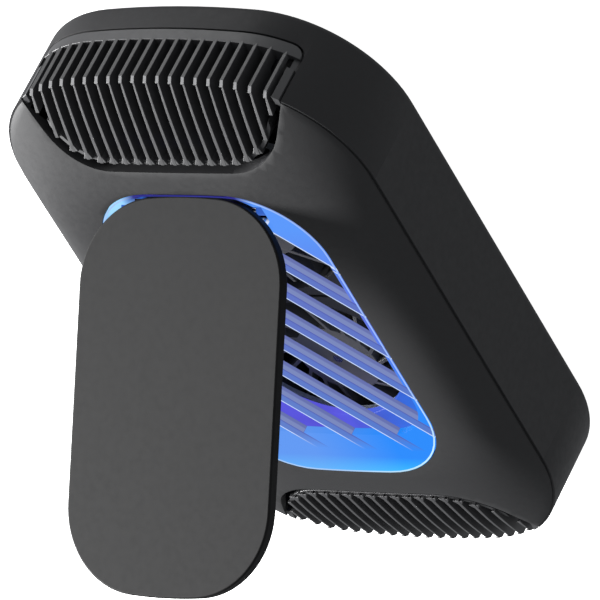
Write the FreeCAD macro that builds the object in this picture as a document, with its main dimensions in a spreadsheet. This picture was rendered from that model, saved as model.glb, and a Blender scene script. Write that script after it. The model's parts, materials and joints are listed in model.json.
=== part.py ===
"""Phone cooler: a flat two-shell housing with a louvred, lit window, two small blowers and a hinged flap.

X runs across the short side, Y along the long side towards the hinge, Z out of the window.
The origin is the centre of the flat rear face. All sizes are in millimetres.
"""
import FreeCAD, Part
import math
import os
import re
import Sketcher

# Driving dimensions
SIZES = {
    # Housing outline, seen from the front
    "body_width": 48.6,
    "body_length": 80,
    "body_arch": 100,           # radius of the gently arched short ends
    "body_corner": 15.6,
    # Housing heights above the rear face
    "seam_height": 11.8,
    "face_height": 15.3,
    "cap_side_power": 0.36,     # how fast the cap turns in along the long sides
    "cap_end_power": 0.83,      # and towards the short ends, where it is nearly a plane
    "wall": 1.5,
    "floor": 1.6,
    "base_round": 1,
    "seam_groove": 0.3,
    # Window
    "window_width": 30.3,
    "window_length": 48.1,
    "window_arch": 150,
    "window_corner": 10.2,
    "window_shift": 0.6,        # the window sits a little towards the hinge
    "window_fit": 0.1,
    "window_land": 0.4,         # flat strip of shell around the window
    "flange_width": 1.5,
    "flange_low": 12.9,
    "flange_high": 13.6,
    "skirt_low": 11.2,
    "skirt_wall": 1.1,
    "louvre_depth": 1,
    "louvre_pitch": 4.9,
    "louvre_slot": 3.52,
    "louvre_angle": 47,         # how far a slot runs down to the right
    "louvre_first": 16.61,      # distance of the first slot's middle line from the window's centre
    "louvre_first_extra": 0.63, # the first slot is wider by this
    "louvre_side": 0.7,         # solid border beside the slots
    "louvre_end_far": 6.8,      # solid border between the slots and the window's far end
    "louvre_end_hinge": 5,
    "louvre_corner": 6,
    # Light plate and its board
    "light_plate_thickness": 1,
    "light_margin": 1,
    "led_board_thickness": 0.8,
    "led_board_margin": 3.6,
    "led_board_opening": 0.3,   # how much wider its air opening is than the plate's
    "air_opening_radius": 11.4,
    "air_opening_low": -6.7,
    "air_opening_high": 8,
    "led_length": 1.6,
    "led_width": 0.8,
    "led_height": 0.7,
    "led_pitch": 5.4,
    "led_gap": 0.1,
    "led_per_side": 6,
    # Grilles in the two short ends
    "grille_side": 6.45,        # shell beside each grille
    "grille_low": 3.8,
    "grille_end_depth": 0.2,    # how deep its room is at its two ends
    "grille_round": 1.5,
    "notch_setback": 3.05,      # from the window's end to the notch in the front shell
    "notch_taper": 4.2,
    "notch_round": 8.6,
    "grille_gap": 0.25,
    "rib_count": 20,
    "rib_margin": 1.795,        # from the grille's end to its last rib's middle line
    "rib_width": 0.55,
    "rib_low": 5.6,
    "rib_reach": 3,             # how far a rib reaches in behind the end wall
    "rib_turn": 2,              # its inner edge turns this far below the seam
    "foot_gap": 0.9,            # from the notch's edge to the ribs' feet
    "foot_bar": 0.8,            # bar that joins the ribs' feet
    "foot_reach": 5.3,          # from the notch's inner edge to the bar's two ends
    "foot_drop": 0.6,
    "end_strip": 0.75,
    # Flap and its hinge
    "flap_width": 27.9,
    "flap_length": 45.4,
    "flap_arch": 55,
    "flap_corner": 10.1,
    "flap_thickness": 1.4,
    "flap_gap": 0.3,            # closed flap over the window
    "flap_heel": 1.2,           # flap edge beyond the hinge pin
    "flap_edge_round": 0.25,
    "flap_rest_angle": 51.9,    # how far the flap stands open at rest
    "pin_setback": 3,           # from the window's end at the hinge to the pin
    "pin_height": 14.6,
    "pin_radius": 0.35,
    "pin_play": 0.05,
    "pin_press": 0.02,
    "knuckle_radius": 0.85,
    "knuckle_width": 2.6,
    "knuckle_place": 6.2,
    "pin_inset": 0.2,
    "cheek_radius": 0.7,
    "cheek_thickness": 1,
    "cheek_inner": 8.8,
    "trough_front": 2.3,        # hinge trough in front of the pin and behind it
    "trough_back": 1,
    "trough_floor": 11.8,
    "bracket_floor": 0.7,
    "heel_room_half": 7.7,      # shallow room for the flap's heel behind the trough
    "heel_room_back": 1.85,
    "heel_room_floor": 13.9,
    "heel_clearance": 0.35,
    # Blowers
    "fan_spacing": 23.4,
    "fan_width": 23,
    "fan_height": 7,
    "fan_round": 1.5,
    "fan_bore": 10.5,
    "fan_base": 0.9,
    "fan_hub_plate": 5.2,
    "fan_arm_width": 1.4,
    "outlet_width": 17,
    "rotor_radius": 9.9,
    "rotor_low": 3.2,
    "rotor_height": 4.9,
    "hub_radius": 5.3,
    "hub_wall": 0.5,
    "hub_crown": 0.9,
    "blade_count": 17,
    "blade_thickness": 0.45,
    "blade_sweep": 38,
    "shroud_thickness": 0.5,
    "shaft_radius": 0.6,
    "shaft_play": 0.05,
    "shaft_lift": 0.2,
    "bearing_radius": 1.3,
    "bearing_height": 3.4,
    "stator_radius": 3.5,
    "stator_height": 1.4,
    "stator_low": 3.8,
    "pole_ring": 0.7,
    "pole_width": 1.2,
    "coil_gap": 0.1,
    "coil_length": 1,
    "coil_height": 2.2,
    "coil_width": 2,
    "magnet_thickness": 0.6,
    "magnet_height": 3,
    "fan_board_radius": 4.6,
    "fan_board_thickness": 0.5,
    # Control board and its socket
    "board_length": 26,
    "board_width": 8.6,
    "board_thickness": 0.8,
    "board_stand": 1,
    "board_wall_gap": 0.4,
    "rail_width": 2,            # rails under the board
    "rail_inset": 1,
    "chip_edge": 1.6,           # middle line of the parts along the board's inner edge
    "chip_side": 3,
    "chip_height": 0.8,
    "chip_place": 9.2,
    "choke_height": 1.4,
    "small_chip_side": 2,
    "small_chip_place": 2.2,
    "small_chip_height": 0.7,
    "socket_width": 8.9,
    "socket_height": 3.2,
    "socket_length": 7.3,
    "socket_wall": 0.3,
    "socket_round": 1.3,
    "socket_cutout": 0.3,
    "socket_inset": 0.3,
    "tongue_width": 6.7,
    "tongue_thickness": 0.7,
    "tongue_inset": 1,
    "lead_width": 2.4,
    "lead_thickness": 0.3,
    "lead_rise": 1,
    "lead_foot": 0.4,
    "lead_inset": 1,
    # Fasteners
    "boss_x": 18.6,
    "boss_y": 24,
    "boss_radius": 2.2,
    "boss_meet": 7,
    "screw_radius": 0.8,
    "screw_head_radius": 1.7,
    "screw_head_height": 1,
    "screw_length": 9.4,
    "screw_recess": 0.3,
    "screw_fit": 0.1,
    "post_x": 9.5,
    "post_setback": 1.45,       # from the window's end to the posts
    "post_radius": 1.3,
    "small_screw_radius": 0.5,
    "small_head_radius": 1,
    "small_head_height": 0.6,
    "small_screw_length": 3,
}

# Places that follow from the driving dimensions
PLACES = {
    "pin_place": "(window_shift + window_length / 2 - pin_setback)",
    "grille_half": "(body_width / 2 - grille_side)",
    "rib_pitch": "(2 * (grille_half - rib_margin) / (rib_count - 1))",
    "grille_depth": "(body_arch + grille_end_depth"
                    " - sqrt(pow(body_arch - body_corner; 2) - pow(body_width / 2 - body_corner; 2))"
                    " - sqrt(pow(body_corner; 2) - pow(body_corner - grille_side; 2)))",
    "notch_inner_half": "(grille_half - notch_taper)",
    "notch_inner": "(window_shift + window_length / 2 + notch_setback)",
    "notch_outer": "(body_length / 2 - grille_depth)",
}


def written_out(formula):
    """Write out each place that a formula names."""
    return re.sub(r"[a-z_]+", lambda word: PLACES.get(word.group(), word.group()), str(formula))


for place_name, formula in PLACES.items():
    PLACES[place_name] = written_out(formula)

doc = FreeCAD.newDocument("phone_cooler")
sheet = doc.addObject("Spreadsheet::Sheet", "Sizes")
for row, (size_name, value) in enumerate(SIZES.items(), start=1):
    sheet.set(f"A{row}", size_name)
    sheet.set(f"B{row}", str(value))
    sheet.setAlias(f"B{row}", size_name)
doc.recompute()

sub_parts = []


def on_sheet(formula):
    """Point each size's name in a formula at its cell."""
    def cell(word):
        return f"Sizes.{word.group()}" if word.group() in SIZES else word.group()
    return re.sub(r"[a-z_]+", cell, written_out(formula))


def number(formula):
    return float(sheet.evalExpression(on_sheet(formula)))


def bind(thing, **formulas):
    for field, formula in formulas.items():
        thing.setExpression(field, on_sheet(formula))
    return thing


def place(thing, x=0, y=0, z=0):
    for axis, formula in zip("xyz", (x, y, z)):
        thing.setExpression(f"Placement.Base.{axis}", on_sheet(formula))
    return thing


def box(name, length, width, height, x=0, y=0, z=0):
    """A box with its lowest corner at x, y, z."""
    block = doc.addObject("Part::Box", name)
    return place(bind(block, Length=length, Width=width, Height=height), x, y, z)


def middle_box(name, length, width, height, x=0, y=0, z=0):
    """A box centred on x and y, standing on z."""
    return box(name, length, width, height, f"{x} - ({length}) / 2", f"{y} - ({width}) / 2", z)


def cylinder(name, radius, height, x=0, y=0, z=0):
    rod = doc.addObject("Part::Cylinder", name)
    return place(bind(rod, Radius=radius, Height=height), x, y, z)


def cross_cylinder(name, radius, length, x=0, y=0, z=0):
    """A cylinder along X, centred on x."""
    rod = cylinder(name, radius, length, f"{x} - ({length}) / 2", y, z)
    rod.Placement.Rotation = FreeCAD.Rotation(FreeCAD.Vector(0, 1, 0), 90)
    return rod


def fuse(name, shapes):
    joined = doc.addObject("Part::MultiFuse", name)
    joined.Shapes = shapes
    return joined


def common(name, shapes):
    shared = doc.addObject("Part::MultiCommon", name)
    shared.Shapes = shapes
    return shared


def cut(name, base, tools):
    """Take one shape or a list of shapes away from another."""
    result = doc.addObject("Part::Cut", name)
    result.Base = base
    result.Tool = tools if not isinstance(tools, list) else fuse(name + "_tools", tools)
    return result


def group(name, shapes):
    """Separate solids that share a node."""
    together = doc.addObject("Part::Compound", name)
    together.Links = shapes
    return together


def mirror(name, source, normal):
    copy = doc.addObject("Part::Mirroring", name)
    copy.Source = source
    copy.Normal = normal
    return copy


def round_edges(name, base, radius, chosen):
    """Fillet the edges of a shape that a test picks out."""
    doc.recompute()
    numbers = [n for n, edge in enumerate(base.Shape.Edges, start=1) if chosen(edge)]
    fillet = doc.addObject("Part::Fillet", name)
    fillet.Base = base
    fillet.Edges = [(n, number(radius), number(radius)) for n in numbers]
    return fillet


def node(label, thing):
    """Name a finished sub-part."""
    thing.Label = label
    sub_parts.append((label, thing))
    return thing


def plane(body, role):
    return next(item for item in body.Origin.OriginFeatures if item.Role == role)


def new_sketch(body, name, role="XY_Plane", x=0, y=0, z=0):
    """A sketch on one of its body's own planes, moved by x and y in it and z off it."""
    sketch = body.newObject("Sketcher::SketchObject", name)
    sketch.AttachmentSupport = [(plane(body, role), "")]
    sketch.MapMode = "FlatFace"
    for axis, formula in zip("xyz", (x, y, z)):
        sketch.setExpression(f"AttachmentOffset.Base.{axis}", on_sheet(formula))
    return sketch


def limit(sketch, formula, kind, *where):
    """Add a constraint whose value follows the sheet."""
    index = sketch.addConstraint(Sketcher.Constraint(kind, *where, number(formula)))
    sketch.setExpression(f"Constraints[{index}]", on_sheet(formula))


def outline(body, name, half_width, half_length, arch, corner, y=0, z=0):
    """Two straight sides, two arched ends and four round corners, all tangent."""
    sketch = new_sketch(body, name, y=y, z=z)
    a, b, end, turn = (number(formula) for formula in (half_width, half_length, arch, corner))
    corner_y = b - end + math.sqrt((end - turn) ** 2 - (a - turn) ** 2)
    lean = math.atan2(corner_y - (b - end), a - turn)

    def arc(x, y, radius, start, stop):
        circle = Part.Circle(FreeCAD.Vector(x, y, 0), FreeCAD.Vector(0, 0, 1), radius)
        return Part.ArcOfCircle(circle, start, stop)

    def side(x, low, high):
        return Part.LineSegment(FreeCAD.Vector(x, low, 0), FreeCAD.Vector(x, high, 0))

    sketch.addGeometry([
        side(a, -corner_y, corner_y),
        arc(a - turn, corner_y, turn, 0, lean),
        arc(0, b - end, end, lean, math.pi - lean),
        arc(turn - a, corner_y, turn, math.pi - lean, math.pi),
        side(-a, corner_y, -corner_y),
        arc(turn - a, -corner_y, turn, math.pi, math.pi + lean),
        arc(0, end - b, end, math.pi + lean, 2 * math.pi - lean),
        arc(a - turn, -corner_y, turn, 2 * math.pi - lean, 2 * math.pi),
    ])
    start, stop, centre, origin, y_axis = 1, 2, 3, -1, -2
    for edge in range(8):
        sketch.addConstraint(Sketcher.Constraint("Tangent", edge, stop, (edge + 1) % 8, start))
    for line in (0, 4):
        sketch.addConstraint(Sketcher.Constraint("Vertical", line))
    for end_arc in (2, 6):
        sketch.addConstraint(Sketcher.Constraint("PointOnObject", end_arc, centre, y_axis))
    for other in (3, 5, 7):
        sketch.addConstraint(Sketcher.Constraint("Equal", 1, other))
    sketch.addConstraint(Sketcher.Constraint("Equal", 2, 6))
    limit(sketch, corner, "Radius", 1)
    limit(sketch, arch, "Radius", 2)
    limit(sketch, half_width, "DistanceX", origin, 1, 0, start)
    limit(sketch, half_width, "DistanceX", 4, start, origin, 1)
    limit(sketch, f"({arch}) - ({half_length})", "DistanceY", 2, centre, origin, 1)
    limit(sketch, f"({arch}) - ({half_length})", "DistanceY", origin, 1, 6, centre)
    return sketch


def polygon(body, name, role, corners, z=0):
    """A closed run of straight lines whose corners follow the sheet."""
    sketch = new_sketch(body, name, role, z=z)
    points = [FreeCAD.Vector(number(x), number(y), 0) for x, y in corners]
    count = len(points)
    sketch.addGeometry([Part.LineSegment(points[n], points[(n + 1) % count]) for n in range(count)])
    for n, (x, y) in enumerate(corners):
        sketch.addConstraint(Sketcher.Constraint("Coincident", n, 2, (n + 1) % count, 1))
        limit(sketch, x, "DistanceX", -1, 1, n, 1)
        limit(sketch, y, "DistanceY", -1, 1, n, 1)
    return sketch


def pad(body, sketch, name, length, midplane=False):
    feature = body.newObject("PartDesign::Pad", name)
    feature.Profile = sketch
    if midplane:
        feature.Midplane = True
    return bind(feature, Length=length)


def outline_block(name, half_width, half_length, arch, corner, height, y=0, z=0):
    """A straight block of the outline's shape."""
    body = doc.addObject("PartDesign::Body", name)
    sketch = outline(body, name + "_outline", half_width, half_length, arch, corner, y=y, z=z)
    pad(body, sketch, name + "_pad", height)
    return body


def prism(name, role, corners, length, z=0, midplane=False):
    """A straight block over a polygon."""
    body = doc.addObject("PartDesign::Body", name)
    pad(body, polygon(body, name + "_corners", role, corners, z=z), name + "_pad", length, midplane)
    return body


def window_block(name, margin, height, z):
    """A block with the window's outline, grown by a margin."""
    return outline_block(
        name, f"window_width / 2 + ({margin})", f"window_length / 2 + ({margin})",
        f"window_arch + ({margin})", f"window_corner + ({margin})", height, y="window_shift", z=z)


def housing_form(name, skin, low):
    """The housing's outer shape, taken in by a skin thickness all round, from a low plane up."""
    body = doc.addObject("PartDesign::Body", name)
    half_width = f"body_width / 2 - ({skin})"
    half_length = f"body_length / 2 - ({skin})"
    wall_sketch = outline(body, name + "_wall", half_width, half_length,
                          f"body_arch - ({skin})", f"body_corner - ({skin})", z=low)
    pad(body, wall_sketch, name + "_walls", f"seam_height - ({skin}) - ({low})")
    side_slope = "(body_width - window_width - 2 * window_land) / 2"
    end_slope = "(body_length - window_length - 2 * window_land) / 2"
    sections = []
    for rise in section_rises:
        side_inset = f"(1 - pow({1 - rise}; cap_side_power)) * {side_slope}"
        end_inset = f"(1 - pow({1 - rise}; cap_end_power)) * {end_slope}"
        sections.append(outline(
            body, f"{name}_section_{len(sections)}",
            f"{half_width} - ({side_inset})", f"{half_length} - ({end_inset})",
            f"body_arch + {rise} * (window_arch - body_arch)",
            f"body_corner - ({skin}) - {rise} * (body_corner - window_corner - window_land)",
            z=f"seam_height - ({skin}) + {rise} * (face_height - seam_height)"))
    loft = body.newObject("PartDesign::AdditiveLoft", name + "_cap")
    loft.Profile = sections[0]
    loft.Sections = sections[1:]
    return body


def notch_block(name, inset, height, z):
    """The grille's footprint in the front shell, at the hinge end, made smaller by an inset."""
    inner, outer = f"notch_inner + ({inset})", "notch_outer"
    near, far = f"notch_inner_half - ({inset})", f"grille_half - ({inset})"
    beyond = "body_length / 2 + wall"
    block = prism(name + "_sharp", "XY_Plane", [
        (f"-({near})", inner), (near, inner), (far, outer), (far, beyond),
        (f"-({far})", beyond), (f"-({far})", outer)], height, z=z)

    def at_inner_corner(edge):
        first, last = edge.firstVertex().Point, edge.lastVertex().Point
        upright = abs(first.x - last.x) + abs(first.y - last.y) < 0.001
        return upright and abs(first.y - number(inner)) < 0.001
    return round_edges(name, block, f"notch_round - ({inset})", at_inner_corner)


def end_wall_block(name, inset):
    """The grille's footprint in the rear shell's end wall."""
    block = middle_box(
        name + "_sharp", f"2 * (grille_half - {inset})", "grille_depth + wall",
        f"seam_height - grille_low - {inset} + wall",
        y=f"(body_length / 2 - grille_depth + {inset}) + (grille_depth + wall) / 2",
        z=f"grille_low + {inset}")

    def at_bottom_corner(edge):
        first, last = edge.firstVertex().Point, edge.lastVertex().Point
        along = abs(first.x - last.x) + abs(first.z - last.z) < 0.001
        return along and abs(first.z - number(f"grille_low + {inset}")) < 0.001
    return round_edges(name, block, "grille_round", at_bottom_corner)


# Shapes that several pieces are cut from
section_rises = (0, 0.2, 0.45, 0.72, 1)
hollow = housing_form("hollow", "wall", "floor")
tray_hollow = outline_block("tray_hollow", "body_width / 2 - wall", "body_length / 2 - wall",
                            "body_arch - wall", "body_corner - wall", "seam_height - floor", z="floor")
grille_zone = fuse("grille_zone", [
    end_wall_block("end_zone", "0"), notch_block("notch_zone", "0", "5 * wall", "seam_height - wall")])
grille_zone_far = mirror("grille_zone_far", grille_zone, FreeCAD.Vector(0, 1, 0))
corners = [(f"{x} * boss_x", f"{y} * boss_y") for x in (1, -1) for y in (1, -1)]
posts = [(f"{x} * post_x", f"{y} * (window_length / 2 + post_setback) + window_shift")
         for x in (1, -1) for y in (1, -1)]


def rounded_form(name):
    """The whole outer shape, with its rear edge rounded."""
    form = housing_form(name + "_sharp", "0", "0")

    def at_rear(edge):
        return all(abs(vertex.Z) < 0.001 for vertex in edge.Vertexes)
    return round_edges(name, form, "base_round", at_rear)


outer = rounded_form("outer")
seam_ring = cut(
    "seam_ring",
    outline_block("seam_ring_outside", "body_width / 2 + wall", "body_length / 2 + wall", "body_arch + wall",
                  "body_corner + wall", "seam_groove", z="seam_height"),
    outline_block("seam_ring_inside", "body_width / 2 - seam_groove", "body_length / 2 - seam_groove",
                  "body_arch - seam_groove", "body_corner - seam_groove", "seam_groove", z="seam_height"))


def above_seam(name):
    return middle_box(name, "body_width + 2 * wall", "body_length + 2 * wall", "face_height", z="seam_height")


def make_rear_shell():
    shell = cut("rear_shell_skin", outer, [above_seam("rear_top"), tray_hollow, grille_zone, grille_zone_far])
    bosses = [cylinder(f"rear_boss_{n}", "boss_radius", "boss_meet - floor", x, y, "floor")
              for n, (x, y) in enumerate(corners)]
    rails = [box(f"board_rail_{n}", "board_width - 2 * rail_inset", "rail_width", "board_stand",
                 "-body_width / 2 + wall + rail_inset",
                 f"{side} * (board_length / 2 - rail_width) - rail_width / 2", "floor")
             for n, side in enumerate((1, -1))]
    solid = fuse("rear_shell_solid", [shell] + bosses + rails)
    holes = []
    for n, (x, y) in enumerate(corners):
        holes.append(cylinder(f"rear_hole_{n}", "screw_radius + screw_fit", "boss_meet", x, y, 0))
        holes.append(cylinder(f"rear_recess_{n}", "screw_head_radius + screw_fit",
                              "screw_head_height + screw_recess", x, y, 0))
    holes.append(middle_box("socket_hole", "2 * wall", "socket_width + 2 * socket_cutout",
                            "socket_height + 2 * socket_cutout", "-body_width / 2",
                            z="floor + board_stand + board_thickness - socket_cutout"))
    return node("rear_shell", cut("RearShell", solid, holes))


def make_front_shell():
    cap = common("front_cap", [outer, above_seam("front_bottom")])
    bosses = [cylinder(f"front_boss_{n}", "boss_radius", "face_height - boss_meet", x, y, "boss_meet")
              for n, (x, y) in enumerate(corners)]
    stems = [cylinder(f"front_post_{n}", "post_radius", "face_height - skirt_low + light_plate_thickness",
                      x, y, "skirt_low - light_plate_thickness") for n, (x, y) in enumerate(posts)]
    inside = common("front_inside", [outer, fuse("front_pillars", bosses + stems)])
    roof = cut("front_roof", cap, hollow)
    solid = fuse("front_shell_solid", [roof, inside])
    seat_low = "(skirt_low - light_plate_thickness)"
    tools = [grille_zone, grille_zone_far, seam_ring,
             window_block("window_hole", "0", "face_height", "flange_low"),
             window_block("flange_seat", "flange_width + window_fit", f"flange_high - {seat_low}", seat_low)]
    pilot = "screw_length - boss_meet + wall + floor"
    tools += [cylinder(f"front_pilot_{n}", "screw_radius + pin_press", pilot, x, y, "boss_meet")
              for n, (x, y) in enumerate(corners)]
    tools += [cylinder(f"post_pilot_{n}", "small_screw_radius + pin_press", "small_screw_length",
                       x, y, "skirt_low - light_plate_thickness") for n, (x, y) in enumerate(posts)]
    return node("front_shell", cut("FrontShell", solid, tools))


def make_grilles():
    zone = fuse("grille_space", [
        end_wall_block("grille_wall_space", "grille_gap"),
        notch_block("grille_notch_space", "foot_gap", "5 * wall", "seam_height - wall + grille_gap")])
    height = "face_height - rib_low + grille_gap"
    ribs = [middle_box(f"rib_{n}", "rib_width", "body_length / 2 + wall - notch_inner", height,
                       f"({n} - (rib_count - 1) / 2) * rib_pitch",
                       "(body_length / 2 + wall + notch_inner) / 2", "rib_low - grille_gap")
            for n in range(int(SIZES["rib_count"]))]
    band = middle_box("grille_band", "2 * grille_half", "body_length", "rib_low - grille_low",
                      y="body_length / 2", z="grille_low")
    strip_height = "seam_height - grille_low"
    strips = [box(f"end_strip_{n}", "end_strip", "body_length", strip_height, x, 0, "grille_low")
              for n, x in enumerate(("grille_half - grille_gap - end_strip", "-grille_half + grille_gap"))]
    foot_height = "face_height - 2 * foot_drop - seam_height"
    foot = cut("foot_bar", notch_block("foot_outside", "foot_gap", foot_height, "seam_height"), [
        notch_block("foot_inside", "foot_gap + foot_bar", foot_height, "seam_height"),
        middle_box("foot_limit", "body_width", "body_length", foot_height,
                   y="notch_inner + foot_reach + body_length / 2", z="seam_height")])
    lattice = common("grille_lattice", [outer, zone, fuse("grille_bars", ribs + [band, foot] + strips)])
    core = common("grille_core", [
        prism("core_section", "YZ_Plane", [
            ("notch_inner - wall", "seam_height"), ("body_length / 2 - rib_reach", "seam_height - rib_turn"),
            ("body_length / 2 - rib_reach", "0"), ("notch_inner - wall", "0")], "body_width", midplane=True),
        outline_block("core_outline", "body_width / 2 - rib_reach", "body_length / 2 - rib_reach",
                      "body_arch - rib_reach", "body_corner - rib_reach", "seam_height")])
    grille = node("grille_hinge_end", cut("GrilleHingeEnd", lattice, core))
    node("grille_far_end", mirror("GrilleFarEnd", grille, FreeCAD.Vector(0, 1, 0)))


def slot_stripes(name, height, z):
    """Slanting strips across the window, one to each slot; the first is wider."""
    stripes = []
    count = math.ceil(number("(window_length + window_width) / louvre_pitch"))
    for n in range(count):
        strip = doc.addObject("Part::Box", f"{name}_{n}")
        width = "louvre_slot + louvre_first_extra" if n == 0 else "louvre_slot"
        bind(strip, Length="2 * window_length", Width=width, Height=height)
        distance = f"(louvre_first - {n} * louvre_pitch - louvre_slot / 2)"
        reach = "window_length"
        place(strip, f"{distance} * sin(louvre_angle) - {reach} * cos(louvre_angle)",
              f"window_shift + {distance} * cos(louvre_angle) + {reach} * sin(louvre_angle)", z)
        bind(strip, **{"Placement.Rotation.Angle": "-louvre_angle"})
        stripes.append(strip)
    return fuse(name, stripes)


def flap_leaf(name, margin):
    """The flap's closed leaf, grown by a margin all round."""
    return outline_block(
        name, f"flap_width / 2 + {margin}", f"flap_length / 2 + {margin}", f"flap_arch + {margin}",
        f"flap_corner + {margin}", f"flap_thickness + 2 * {margin}",
        y="pin_place + flap_heel - flap_length / 2", z=f"face_height + flap_gap - {margin}")


def swing(thing):
    """Turn a closed shape about the hinge pin to where the flap stands at rest."""
    turn, pin_y, pin_z = (on_sheet(size) for size in ("flap_rest_angle", "pin_place", "pin_height"))
    thing.Placement.Rotation = FreeCAD.Rotation(FreeCAD.Vector(-1, 0, 0), number("flap_rest_angle"))
    thing.setExpression("Placement.Rotation.Angle", turn)
    thing.setExpression("Placement.Base.y", f"{pin_y} - {pin_y} * cos({turn}) - {pin_z} * sin({turn})")
    thing.setExpression("Placement.Base.z", f"{pin_z} + {pin_y} * sin({turn}) - {pin_z} * cos({turn})")
    return thing


def make_window_panel():
    rim = window_block("panel_rim", "-window_fit", "face_height - skirt_low", "skirt_low")
    flange = window_block("panel_flange", "flange_width", "flange_high - flange_low", "flange_low")
    inside = window_block("panel_inside", "-window_fit - skirt_wall",
                          "face_height - louvre_depth - skirt_low", "skirt_low")
    field_low = "face_height - 1.5 * louvre_depth"
    field = outline_block("louvre_field", "window_width / 2 - louvre_side",
                          "(window_length - louvre_end_far - louvre_end_hinge) / 2",
                          "window_arch", "louvre_corner", "2 * louvre_depth",
                          y="window_shift + (louvre_end_far - louvre_end_hinge) / 2", z=field_low)
    slots = common("louvre_slots", [field, slot_stripes("slot_cut", "2 * louvre_depth", field_low)])
    seat_width = "2 * (cheek_inner + cheek_thickness + skirt_wall)"
    seat_block = middle_box("hinge_seat_block", seat_width, "window_length", "face_height",
                            y="pin_place - trough_front - skirt_wall + window_length / 2")
    hinge_seat = common("hinge_seat", [rim, seat_block])
    trough = middle_box("trough_hole", "2 * (cheek_inner + cheek_thickness + window_fit)",
                        "trough_front + trough_back + 2 * window_fit", "face_height",
                        y="pin_place + (trough_back - trough_front) / 2", z="trough_floor")
    heel_room = middle_box("heel_room", "2 * heel_room_half", "heel_room_back", "face_height",
                           y="pin_place + heel_room_back / 2", z="heel_room_floor")
    heel = swing(flap_leaf("heel_sweep", "heel_clearance"))
    hollowed = cut("panel_hollowed", fuse("panel_solid", [rim, flange]), [inside, slots])
    seated = fuse("panel_seated", [hollowed, hinge_seat])
    return node("window_panel", cut("WindowPanel", seated, [trough, heel_room, heel]))


def air_opening(name, margin, height, z):
    """The long opening over both blowers, wider than the plate's by a margin."""
    ends = [cylinder(f"{name}_{n}", f"air_opening_radius + {margin}", height, 0, y, z)
            for n, y in enumerate(("air_opening_low", "air_opening_high"))]
    middle = middle_box(f"{name}_middle", f"2 * (air_opening_radius + {margin})",
                        "air_opening_high - air_opening_low", height,
                        y="(air_opening_high + air_opening_low) / 2", z=z)
    return fuse(name, ends + [middle])


def make_lighting():
    plate_low = "skirt_low - light_plate_thickness"
    board_low = f"({plate_low} - led_board_thickness)"
    plate = window_block("light_plate_solid", "light_margin", "light_plate_thickness", plate_low)
    plate_hole = air_opening("plate_opening", "0", "light_plate_thickness", plate_low)
    node("light_plate", cut("LightPlate", plate, plate_hole))
    board = window_block("led_board_solid", "led_board_margin", "led_board_thickness", board_low)
    holes = [cylinder(f"led_board_hole_{n}", "small_screw_radius + screw_fit", "led_board_thickness",
                      x, y, board_low) for n, (x, y) in enumerate(posts)]
    board_hole = air_opening("board_opening", "led_board_opening", "led_board_thickness", board_low)
    node("led_board", cut("LedBoard", board, [board_hole] + holes))
    leds = []
    for side in (1, -1):
        for n in range(int(SIZES["led_per_side"])):
            leds.append(middle_box(
                f"led_{len(leds)}", "led_width", "led_length", "led_height",
                f"{side} * (window_width / 2 + light_margin + led_gap + led_width / 2)",
                f"(window_shift + ({n} - (led_per_side - 1) / 2) * led_pitch)", plate_low))
    node("leds", group("Leds", leds))
    screws = []
    for n, (x, y) in enumerate(posts):
        head = cylinder(f"board_screw_head_{n}", "small_head_radius", "small_head_height", x, y,
                        f"{board_low} - small_head_height")
        shank = cylinder(f"board_screw_shank_{n}", "small_screw_radius", "small_screw_length",
                         x, y, board_low)
        screws.append(fuse(f"board_screw_{n}", [head, shank]))
    node("led_board_screws", group("LedBoardScrews", screws))


def make_hinge():
    bracket_half = "(cheek_inner + cheek_thickness)"
    floor_plate = middle_box("bracket_floor_plate", f"2 * {bracket_half}",
                             "trough_front + trough_back", "bracket_floor",
                             y="pin_place + (trough_back - trough_front) / 2", z="trough_floor")
    cheeks = []
    for n, side in enumerate((1, -1)):
        x = f"{side} * (cheek_inner + cheek_thickness / 2)"
        cheeks.append(middle_box(f"cheek_foot_{n}", "cheek_thickness", "2 * cheek_radius",
                                 "pin_height - trough_floor", x, "pin_place", "trough_floor"))
        cheeks.append(cross_cylinder(f"cheek_head_{n}", "cheek_radius", "cheek_thickness",
                                     x, "pin_place", "pin_height"))
    bore = cross_cylinder("cheek_bore", "pin_radius + pin_play", f"3 * {bracket_half}",
                          0, "pin_place", "pin_height")
    node("hinge_bracket", cut("HingeBracket", fuse("bracket_solid", [floor_plate] + cheeks), bore))
    node("hinge_pin", cross_cylinder("HingePin", "pin_radius", f"2 * ({bracket_half} - pin_inset)",
                                     0, "pin_place", "pin_height"))


def make_flap():
    """The flap is drawn closed and then turned about the hinge pin to where it stands at rest."""
    leaf = flap_leaf("flap_leaf", "0")

    def on_face(edge):
        heights = [vertex.Z for vertex in edge.Vertexes]
        return max(heights) - min(heights) < 0.001
    leaf = round_edges("flap_leaf_round", leaf, "flap_edge_round", on_face)
    knuckles = []
    for n, side in enumerate((1, -1)):
        x = f"{side} * knuckle_place"
        knuckles.append(cross_cylinder(f"knuckle_{n}", "knuckle_radius", "knuckle_width",
                                       x, "pin_place", "pin_height"))
        knuckles.append(middle_box(f"knuckle_web_{n}", "knuckle_width", "2 * knuckle_radius",
                                   "face_height + flap_gap + flap_thickness / 4 - pin_height",
                                   x, "pin_place", "pin_height"))
    bore = cross_cylinder("knuckle_bore", "pin_radius + pin_press", "flap_width",
                          0, "pin_place", "pin_height")
    node("flap", swing(cut("Flap", fuse("flap_closed", [leaf] + knuckles), bore)))


def both_ends(kind, thing):
    """Name a blower's piece at the hinge end, and a copy of it, half a turn round, at the far end."""
    node(kind + "_hinge_end", thing)
    copy = group(kind + "_turned", [thing])
    copy.Placement.Rotation = FreeCAD.Rotation(FreeCAD.Vector(0, 0, 1), 180)
    node(kind + "_far_end", copy)


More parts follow.
